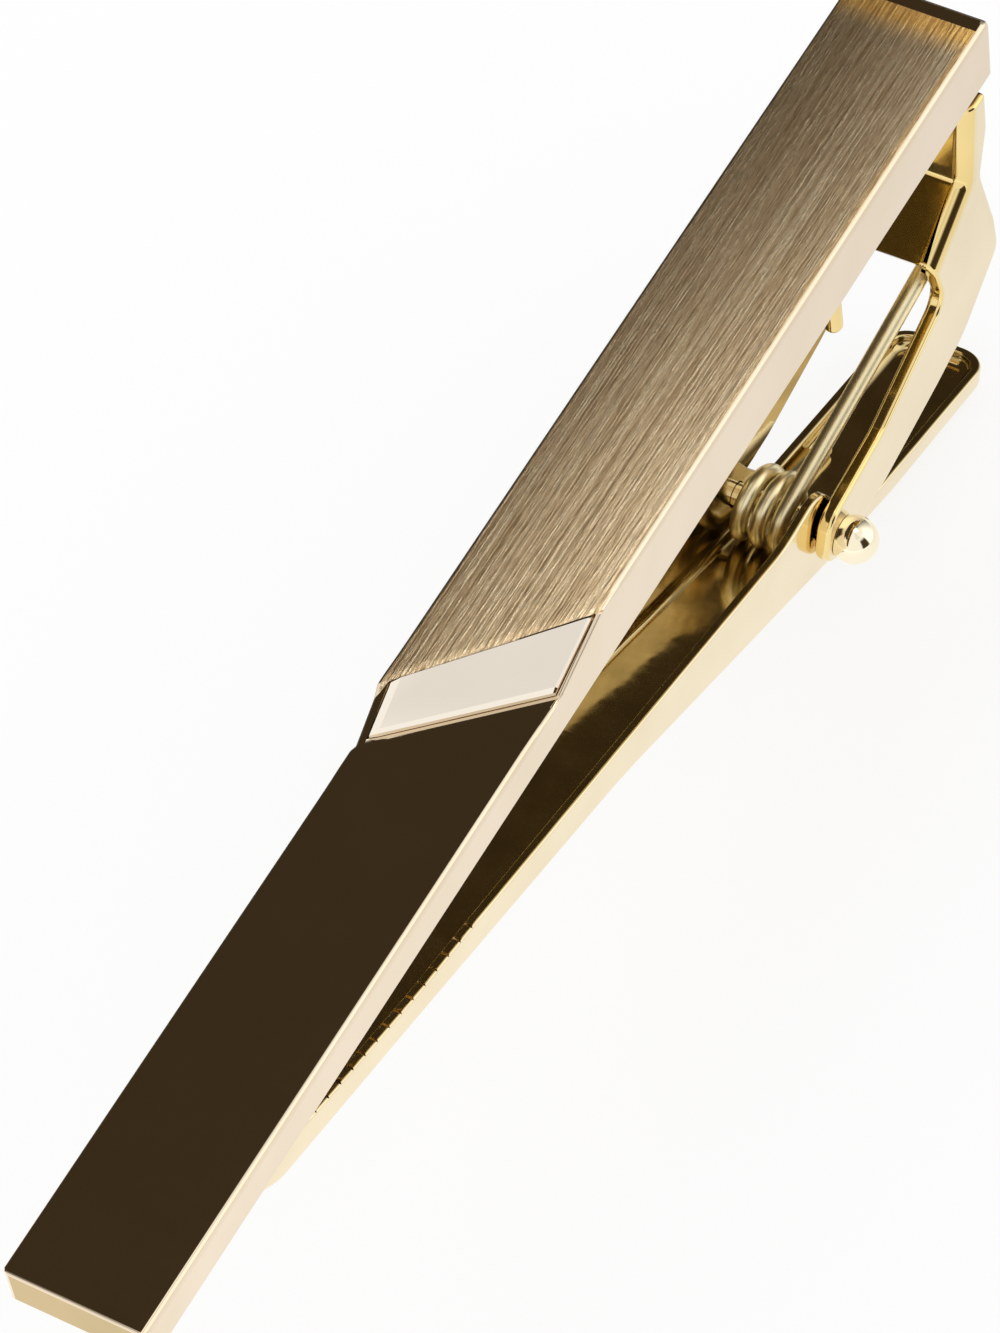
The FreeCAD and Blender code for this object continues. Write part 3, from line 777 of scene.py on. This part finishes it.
# %% Lever profile
LEVER_SHEET, LEVER_HALF, LEVER_REACH, TAIL = 0.4, 2.1, 42.0, 14.3
TIP_ROUND, LEVER_FOLD, RIM_ROUND, INNER_FOLD = 1.2, 0.3, 0.12, 0.35
LEAST_STEP = 0.02
LIP, LIP_RISE = 0.86, 12.1    # the lip over the lever's own axis, and its rise over the pin when closed
LEVER_ANGLE = math.asin(LIP_RISE / math.hypot(LEVER_REACH, LIP)) - math.atan2(LIP, LEVER_REACH)
UNDERSIDE = [
    (-42.0, -0.176, 0), (-40.614, -0.176, 1.5), (-39.06, -0.8, 2.4), (-30.24, -0.72, 24.0),
    (-15.54, -0.72, 18.0), (0.5005, -2.15, 3.0), (6.006, -2.408, 4.5), (14.3, -2.2, 0),
]
RIM = [
    (-42.0, 0.86, 0), (-38.01, 0.6624, 2.4), (-34.86, 0.6072, 6.0), (-30.156, 0.5796, 9.0),
    (-25.872, 0.7866, 12.0), (-3.36, 1.38, 4.5), (-0.7, 2.35, 1.5), (0.95, 0.6, 1.6),
    (3.2, -1.3395, 2.4), (14.3, -1.3, 0),
]


def height_on(line, x):
    """Height of a line of points at a place along it."""
    for before, after in zip(line, line[1:]):
        if before.x <= x <= after.x:
            return before.y + (after.y - before.y) * (x - before.x) / max(after.x - before.x, 1e-9)
    return line[0].y if x < line[0].x else line[-1].y


under_line = rounded(UNDERSIDE, closed=False)
floor_line = rounded(beside(UNDERSIDE, LEVER_SHEET), closed=False)
rim_line = rounded(RIM, closed=False)


def stations():
    """Places along the lever: every bend of its lines, the round corners and even steps between."""
    places = {round(point.x, 3) for line in (under_line, rim_line, floor_line) for point in line}
    for turn in shares(0, math.pi / 2, 10):
        reach = TIP_ROUND * (1 - math.cos(turn))
        places |= {round(-LEVER_REACH + reach, 3), round(TAIL - reach, 3)}
    places |= {round(place, 3) for place in shares(-LEVER_REACH, TAIL, 56)}
    kept = []
    for place in sorted(place for place in places if -LEVER_REACH <= place <= TAIL):
        if not kept or place - kept[-1] > LEAST_STEP or place == TAIL:
            kept.append(place)
    return kept


def plan_ring():
    """Points and outward directions round the lever's plan, down its -Y side and back up its +Y side."""
    side = []
    for x in stations():
        near_end = min(x + LEVER_REACH, TAIL - x)
        if near_end >= TIP_ROUND:
            side.append((x, LEVER_HALF, 0.0, 1.0))
            continue
        sign = -1 if x < 0 else 1
        lean = (TIP_ROUND - near_end) / TIP_ROUND
        out = math.sqrt(max(1 - lean * lean, 0))
        side.append((x, LEVER_HALF - TIP_ROUND + TIP_ROUND * out, sign * lean, out))
    return [(x, -y, nx, -ny) for x, y, nx, ny in side] + [(x, y, nx, ny) for x, y, nx, ny in reversed(side)]


def wall_profile():
    """Steps up the wall: inward offset, and the line and the lift that give the height."""
    quarter = shares(0, math.pi / 2, 5)
    steps = [(LEVER_FOLD * (1 - math.sin(a)), under_line, LEVER_FOLD * (1 - math.cos(a))) for a in quarter]
    steps += [(RIM_ROUND * (1 - math.cos(a)), rim_line, RIM_ROUND * (math.sin(a) - 1)) for a in quarter]
    inside = LEVER_SHEET - RIM_ROUND
    steps += [(inside + RIM_ROUND * math.sin(a), rim_line, RIM_ROUND * (math.cos(a) - 1)) for a in quarter]
    steps += [
        (LEVER_SHEET + INNER_FOLD * (1 - math.cos(a)), floor_line, INNER_FOLD * (1 - math.sin(a))) for a in quarter
    ]
    return steps


def tray_mesh():
    """The pressed tray, with the pin at the origin and the lever lying level."""
    bm = bmesh.new()
    plan = plan_ring()
    loops = []
    for inward, line, lift in wall_profile():
        loop = []
        for x, y, nx, ny in plan:
            px, py = x - nx * inward, y - ny * inward
            loop.append(bm.verts.new(mm(px, py, height_on(line, px) + lift)))
        loops.append(loop)
    bridge(bm, loops, closed=True)
    half = len(plan) // 2
    for loop in (loops[0], loops[-1]):
        bridge(bm, (loop[:half], loop[half:][::-1]))
    return bm


lever = new_object("jaw_lever_dressed", tray_mesh())
print("tray faces", len(lever.data.polygons), "stations", len(stations()))

# %% [markdown]
# ## Serrations on the jaw
# Fifteen small notches across the flange tops keep the tie from slipping out. They repeat along a line,
# so Geometry Nodes cut them: the rim's own line is divided into points, a square bar on its edge is set
# on each point, and the bars are cut from the tray. Count, depth and line are inputs of the tree.

# %% Notch tree
SERRATIONS, SERRATION_DEPTH = 15, 0.06
SERRATION_SPAN = (-37.59, -26.46)


def line_curve(name, points):
    """A curve of straight runs through points in millimetres."""
    curve = bpy.data.curves.new(name, "CURVE")
    curve.dimensions = "3D"
    spline = curve.splines.new("POLY")
    spline.points.add(len(points) - 1)
    for target, point in zip(spline.points, points):
        target.co = (*mm(*point), 1.0)
    return put_in_scene(name, curve)


def new_tree(name, inputs):
    """A geometry tree with named inputs; returns it with its input and output nodes."""
    tree = bpy.data.node_groups.new(name, "GeometryNodeTree")
    tree.interface.new_socket("Geometry", in_out="INPUT", socket_type="NodeSocketGeometry")
    for title, kind in inputs:
        tree.interface.new_socket(title, in_out="INPUT", socket_type=kind)
    tree.interface.new_socket("Geometry", in_out="OUTPUT", socket_type="NodeSocketGeometry")
    return tree, tree.nodes.new("NodeGroupInput").outputs, tree.nodes.new("NodeGroupOutput").inputs


def finish_tree(tree, geometry, material, output):
    """Ends a tree: instances become mesh, and the mesh gets its finish."""
    mesh = add(tree, "GeometryNodeRealizeInstances", Geometry=geometry).outputs["Geometry"]
    painted = add(tree, "GeometryNodeSetMaterial", Geometry=mesh, Material=material).outputs["Geometry"]
    tree.links.new(painted, output)


def run_tree(obj, tree, values):
    """Runs a tree on an object with its inputs set by identifier, and returns the plain mesh."""
    step = obj.modifiers.new(tree.name, "NODES")
    step.node_group = tree
    for item in tree.interface.items_tree:
        if item.in_out == "INPUT" and item.name in values:
            step[item.identifier] = values[item.name]
    return final_mesh(obj)


def notch_tree():
    """Cuts square bars, set on edge, from the tray along a line."""
    inputs = (
        ("Line", "NodeSocketObject"), ("Count", "NodeSocketInt"), ("Depth", "NodeSocketFloat"),
        ("Width", "NodeSocketFloat"), ("Finish", "NodeSocketMaterial"),
    )
    tree, given, result = new_tree("jaw_serrations", inputs)
    line = add(tree, "GeometryNodeObjectInfo", Object=given["Line"]).outputs["Geometry"]
    points = add(tree, "GeometryNodeCurveToPoints", Curve=line, Count=given["Count"]).outputs["Points"]
    side = calculate(tree, "MULTIPLY", given["Depth"], math.sqrt(2))
    size = add(tree, "ShaderNodeCombineXYZ", side, given["Width"], side).outputs["Vector"]
    bar_shape = add(tree, "GeometryNodeMeshCube", Size=size).outputs["Mesh"]
    bars = add(
        tree, "GeometryNodeInstanceOnPoints", Points=points, Instance=bar_shape, Rotation=(0, math.pi / 4, 0)
    ).outputs["Instances"]
    bars = add(tree, "GeometryNodeRealizeInstances", Geometry=bars).outputs["Geometry"]
    cut = add(tree, "GeometryNodeMeshBoolean")
    cut.operation, cut.solver = "DIFFERENCE", "MANIFOLD"
    fill(tree, cut, Mesh_1=given["Geometry"], Mesh_2=bars)
    finish_tree(tree, cut.outputs["Mesh"], given["Finish"], result["Geometry"])
    return tree


# %% Cut the serrations and set the lever in place
BORE, BORE_REACH = 0.55, 4
notch_line = line_curve(
    "serration_line", [(x, 0, height_on(rim_line, x)) for x in shares(*SERRATION_SPAN, 60)]
)
lever.data = run_tree(lever, notch_tree(), {
    "Line": notch_line, "Count": SERRATIONS, "Depth": SERRATION_DEPTH * MM, "Width": 3 * LEVER_HALF * MM,
    "Finish": painted_shade_inner_gold,
})
bpy.data.objects.remove(notch_line)
bore = [(0, -BORE_REACH), (BORE, -BORE_REACH), (BORE, BORE_REACH), (0, BORE_REACH)]
combine(lever, turned("bore", bore, (0, 0, 0), (0, 1, 0)), "DIFFERENCE")
lever.data.transform(Matrix.Translation(mm(PIN_X, 0, PIN_Z)) @ Matrix.Rotation(LEVER_ANGLE, 4, "Y"))
even_shading(lever, 50)


FLANGE_TILT, UNDERSIDE_TILT = 0.5, -0.4


def is_lever_outside(face):
    """True for the outside of the flanges and for the underside."""
    outwards = face.normal.y * face.center.y > FLANGE_TILT * abs(face.center.y)
    return outwards or face.normal.z < UNDERSIDE_TILT


# the outside of the flanges and the underside take the paler flank tint, painted light; the tray's inside, rim
# tops and serrations take the darker inner tint, painted shade
two_tints(lever, painted_shade_inner_gold, painted_light_flank_gold, is_lever_outside)
hand_over(lever, "jaw", "jaw_lever")

# %% [markdown]
# ## The torsion spring
# One wire is wound close round the pin. Its upper leg bears under the bracket's web and its lower leg on
# the tail's floor. The wire follows a path, so the path is worked out once, as points of a line, and a
# node tree sweeps a round section along it.

# %% Spring path
WIRE, COIL, PITCH, WHOLE_TURNS, COIL_SHIFT = 0.7, 1.26, 0.8, 2, 0.14
UPPER_WAY, LOWER_WAY = math.radians(21.0), math.radians(-20.3)
UPPER_LEG, LOWER_LEG = 10.3, 6.4
LEG_START, UPPER_DRIFT = 0.4, -0.09
COIL_STEPS, WIRE_SIDES = 40, 20


def spring_path():
    """Points along the wire: upper leg, close-wound coil and lower leg."""
    first = UPPER_WAY + math.pi / 2
    wrap = (LOWER_WAY - math.pi / 2 - first) % (2 * math.pi) + 2 * math.pi * WHOLE_TURNS
    span = PITCH * wrap / (2 * math.pi)
    coil = []
    for turn in shares(0, wrap, round(COIL_STEPS * wrap / (2 * math.pi))):
        angle = first + turn
        across = span * (turn / wrap - 0.5) + COIL_SHIFT
        coil.append(Vector((COIL * math.cos(angle), across, COIL * math.sin(angle))))
    upper = Vector((math.cos(UPPER_WAY), UPPER_DRIFT, math.sin(UPPER_WAY)))
    lower = Vector((math.cos(LOWER_WAY), 0.0, math.sin(LOWER_WAY)))
    points = [coil[0] + upper * reach for reach in shares(UPPER_LEG, LEG_START, 12)]
    points += coil + [coil[-1] + lower * reach for reach in shares(LEG_START, LOWER_LEG, 8)]
    return [(PIN_X + point.x, point.y, PIN_Z + point.z) for point in points], span / 2


def wire_tree():
    """Sweeps a round section along a line, with closed ends."""
    inputs = (("Radius", "NodeSocketFloat"), ("Sides", "NodeSocketInt"), ("Finish", "NodeSocketMaterial"))
    tree, given, result = new_tree("spring_wire", inputs)
    circle = add(tree, "GeometryNodeCurvePrimitiveCircle", Radius=given["Radius"], Resolution=given["Sides"])
    section = circle.outputs["Curve"]
    sweep = add(tree, "GeometryNodeCurveToMesh", Curve=given["Geometry"], Profile_Curve=section, Fill_Caps=True)
    smooth = add(tree, "GeometryNodeSetShadeSmooth", Geometry=sweep.outputs["Mesh"])
    finish_tree(tree, smooth.outputs["Geometry"], given["Finish"], result["Geometry"])
    return tree


path, half_span = spring_path()
wire_line = line_curve("wire_line", path)
wire = run_tree(wire_line, wire_tree(), {"Radius": WIRE / 2 * MM, "Sides": WIRE_SIDES, "Finish": painted_light_wire_gold})
bpy.data.objects.remove(wire_line)
spring = put_in_scene("torsion_spring_dressed", wire)
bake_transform(spring)
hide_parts("torsion_spring")
print("spring faces", len(spring.data.polygons))

# %% [markdown]
# ## Studio
# The clip is shown cut out on white, so floor and room are white. Polished metal shows its room, so its look
# is made by what it mirrors. Walls and cards could stand round the clip, but a dome painted point by point
# is simpler, and each patch can fade at its border: a dark wall and ceiling beyond the clip for the two top
# faces, a bright wall at the right for the white line on the rims, a grey board for the plate, a dark card
# at the camera's side that draws the folds, and a lamp overhead for the satin. A dark cloth lies on the far
# floor. Reflections alone see the dome and the cloth.

# %% Floor and room
ROOM, FLOOR_SIZE, SHADE = 1.0, 4.0, 0.25
FLOOR_GLOW, FLOOR_FADE = (1.18, 0.95), (-50, 40)    # levels that reflections see, and where, in mm

world = bpy.data.worlds.new("white_room")
world.use_nodes = True
bpy.context.scene.world = world
world.node_tree.nodes["Background"].inputs["Color"].default_value = (ROOM, ROOM, ROOM, 1.0)
world.cycles_visibility.glossy = False    # reflections see the painted dome in its place


def glow(name):
    """A plain white emitting finish."""
    material = bpy.data.materials.new(name)
    material.use_nodes = True
    tree = material.node_tree
    tree.nodes.clear()
    lamp = add(tree, "ShaderNodeEmission", Color=(1.0, 1.0, 1.0, 1.0))
    return material, tree, lamp, add(tree, "ShaderNodeOutputMaterial", Surface=lamp.outputs["Emission"])


def white_floor():
    """Floor paint: white, with a share of plain matt white that takes the clip's shadow."""
    material, tree, lamp, out = glow("white_floor")
    camera_ray = add(tree, "ShaderNodeLightPath").outputs["Is Camera Ray"]
    axes = split(tree, add(tree, "ShaderNodeTexCoord").outputs["Object"])
    seen = between(tree, axes["X"], FLOOR_FADE, *FLOOR_GLOW)
    fill(tree, lamp, Strength=add(tree, "ShaderNodeMix", Factor=camera_ray, A=seen, B=1.0).outputs["Result"])
    matt = add(tree, "ShaderNodeBsdfDiffuse", Color=(0.98, 0.98, 0.98, 1.0))
    share = calculate(tree, "MULTIPLY", camera_ray, SHADE)
    both = add(tree, "ShaderNodeMixShader", share, lamp.outputs["Emission"], matt.outputs["BSDF"])
    fill(tree, out, Surface=both.outputs["Shader"])
    return material


def grid_sheet(name, rows):
    """An open sheet of quads through rows of points."""
    bm = bmesh.new()
    bridge(bm, [[bm.verts.new(point) for point in row] for row in rows])
    return new_object(name, bm)


FLOOR_GAP = 0.05
FLOOR_Z = cad_low[2] - FLOOR_GAP * MM
SIDES = (-FLOOR_SIZE, FLOOR_SIZE)
floor = grid_sheet("floor", [[Vector((x, y, FLOOR_Z)) for x in SIDES] for y in SIDES])
floor.data.materials.append(white_floor())
print("floor at", round(FLOOR_Z / MM, 3), "mm")

# %% Painted dome and dark cloth
DARK = (0.050, 0.036, 0.020)
DOME_SIZE = 0.5
PATCHES = (
    # azimuths and elevations in degrees, soft borders at their low and high ends, and the glow
    ((-92, -20), (-6, 54), (16, 24, 0, 12), (1.45, 1.42, 1.36)),    # bright wall at the right
    ((-14, 112), (47, 73), (30, 12, 13, 11), DARK),    # dark ceiling beyond the clip
    ((-30, 150), (-6, 70), (44, 14, 0, 8), DARK),    # dark wall beyond the clip
    ((-142, -96), (46, 84), (10, 10, 8, 8), (0.83, 0.83, 0.83)),    # grey board for the plate
    ((-120, -76), (-6, 46), (8, 10, 0, 14), DARK),    # dark card at the camera's side
    ((-60, 110), (66, 90), (20, 20, 10, 0), (2.6, 2.45, 2.2)),    # lamp overhead for the satin
)


def outside(value, limits, margins):
    """0 in the middle of a range, rising smoothly to 1 at its borders across the margins."""
    below = (limits[0] + margins[0] - value) / max(margins[0], 0.01)
    above = (value - limits[1] + margins[1]) / max(margins[1], 0.01)
    share = min(max(below, above, 0), 1)
    return share * share * (3 - 2 * share)


def dome_glow(azimuth, elevation):
    """Colour of the dome in one direction: the white room with the patches painted over it in turn."""
    glow_here = Vector((ROOM, ROOM, ROOM))
    for azimuths, elevations, margins, colour in PATCHES:
        inside = 1 - outside(azimuth, azimuths, margins[:2])
        inside *= 1 - outside(elevation, elevations, margins[2:])
        glow_here = glow_here.lerp(Vector(colour), inside)
    return glow_here


def reflection_only(obj, colours):
    """Studio gear that reflections see and the camera does not, painted point by point."""
    paint = obj.data.attributes.new("paint", "FLOAT_COLOR", "POINT")
    for index, colour in enumerate(colours):
        paint.data[index].color = (*colour, 1.0)
    material, tree, lamp = glow(obj.name + "_paint")[:3]
    colour = add(tree, "ShaderNodeAttribute")
    colour.attribute_name = "paint"
    fill(tree, lamp, Color=colour.outputs["Color"])
    obj.data.materials.append(material)
    obj.visible_camera = obj.visible_diffuse = obj.visible_shadow = False
    print("studio gear", obj.name, len(obj.data.polygons), "faces")


def direction(azimuth, elevation):
    """Unit vector of a direction in degrees."""
    turn, rise = math.radians(azimuth), math.radians(elevation)
    return Vector((math.cos(rise) * math.cos(turn), math.cos(rise) * math.sin(turn), math.sin(rise)))


views = [[(azimuth, elevation) for azimuth in shares(-180, 180, 180)] for elevation in shares(-6, 89.9, 48)]
dome = grid_sheet("painted_dome", [[DOME_SIZE * direction(*view) for view in row] for row in views])
reflection_only(dome, [dome_glow(*view) for row in views for view in row])

CLOTH_STEPS = ((2.5, ROOM), (3.5, 0.62), (4.5, 0.3), (6, 0.06), (400, 0.04))    # places across, and their levels
CLOTH_LENGTH, CLOTH_LIFT, CLOTH_TINT = (-16, -10, 300), 0.01, Vector((1, 0.85, 0.6))
white = Vector((ROOM, ROOM, ROOM))
cloth_rows = [[mm(x, y, FLOOR_Z / MM + CLOTH_LIFT) for x in CLOTH_LENGTH] for y, level in CLOTH_STEPS]
cloth_colours = [CLOTH_TINT * level if level < 0.5 else Vector((level,) * 3) for y, level in CLOTH_STEPS]
cloth = grid_sheet("dark_cloth", cloth_rows)
reflection_only(cloth, [shade for colour in cloth_colours for shade in (white, colour, colour)])

# %% Camera
LENS, SENSOR = 160.98, 36
VIEW_FROM = Vector((-0.097482, -0.072445, 0.166279))
VIEW_RIGHT = Vector((0.4876684, -0.8674321, -0.0986967))
VIEW_UP = Vector((0.7369374, 0.3483960, 0.5792612))
VIEW_AHEAD = Vector((0.4680843, 0.3552207, -0.8091449))
camera = put_in_scene("camera", bpy.data.cameras.new("camera"))
camera.data.lens, camera.data.sensor_width = LENS, SENSOR
camera.data.clip_start = 0.01
turn = Matrix((VIEW_RIGHT, VIEW_UP, -VIEW_AHEAD)).transposed()
camera.matrix_world = Matrix.Translation(VIEW_FROM) @ turn.to_4x4()
bpy.context.scene.camera = camera
bpy.context.scene.view_settings.view_transform = "Standard"
print("camera", [round(value, 4) for value in VIEW_FROM])
